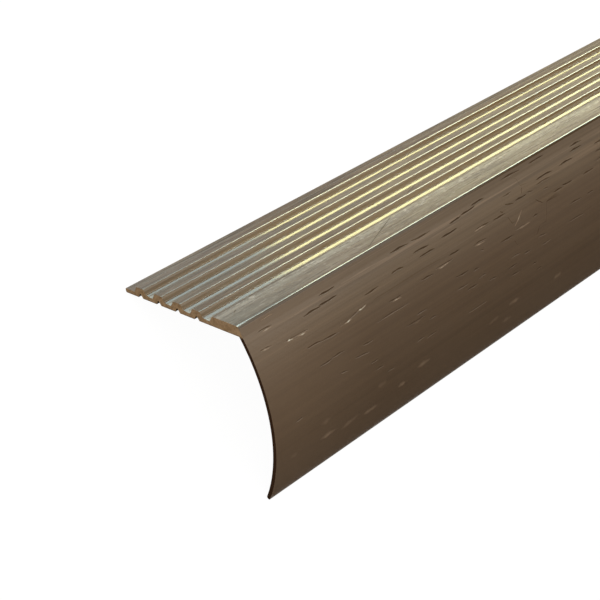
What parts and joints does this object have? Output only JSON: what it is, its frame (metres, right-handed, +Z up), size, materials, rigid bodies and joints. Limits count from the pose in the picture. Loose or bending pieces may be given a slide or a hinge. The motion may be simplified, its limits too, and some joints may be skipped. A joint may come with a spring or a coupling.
{
  "type": "stair nosing",
  "caption": "Ribbed brown vinyl stair nosing: an extruded strip with a ribbed tread leg, a square nose and a bowed skirt that covers the front edge of a step.",
  "frame": {"origin": "centre of the footprint on the floor, midway along the stick and between its toe and its back lip", "axes": "+X along the stick, +Y from the toe towards the back lip, +Z up; the stick lies as it rests by itself, on its toe and its back lip, with the nose up"},
  "size_m": [0.9144, 0.0722, 0.0369],
  "materials": {
    "vinyl": "satin"
  },
  "bodies": {
    "root": {"nosing": "vinyl"}
  },
  "joints": []
}
